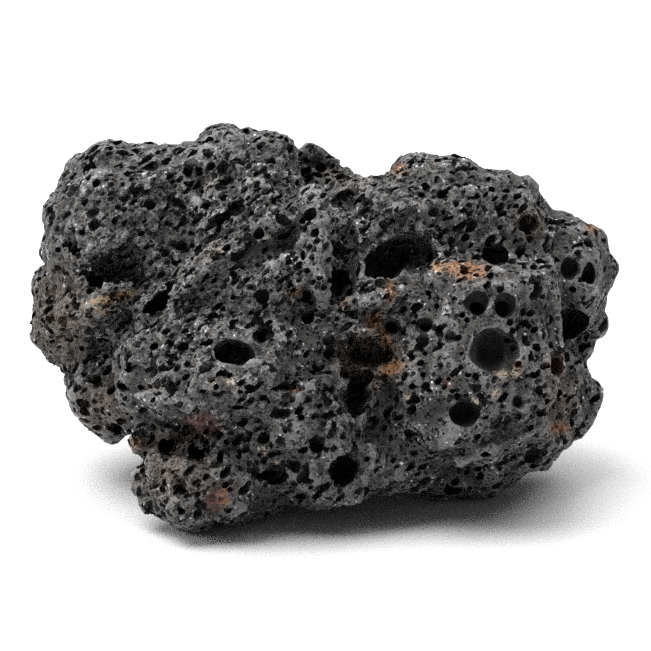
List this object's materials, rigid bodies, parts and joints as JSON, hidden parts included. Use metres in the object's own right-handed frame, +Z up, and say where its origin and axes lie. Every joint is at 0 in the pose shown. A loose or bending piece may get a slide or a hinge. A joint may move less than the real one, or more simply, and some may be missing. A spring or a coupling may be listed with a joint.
{
  "type": "lava rock",
  "caption": "Loose lump of dark volcanic scoria with a knobbly, frothy skin and open gas blisters, for decor, planting, filters or grill beds.",
  "frame": {"origin": "On the ground, under the middle of the stone's bounding box, as it lies on its worn spots.", "axes": "+X along the longest side, to the right as the broad blistered side is looked at; +Y away from that side; +Z up."},
  "size_m": [0.1026, 0.065, 0.0633],
  "materials": {
    "basalt": "Matt dark grey basalt froth with near-black vesicles, paler worn ridges, fine bright crystal specks and a few rust and ochre stains."
  },
  "bodies": {
    "root": {"lava_rock": "basalt"}
  },
  "joints": []
}
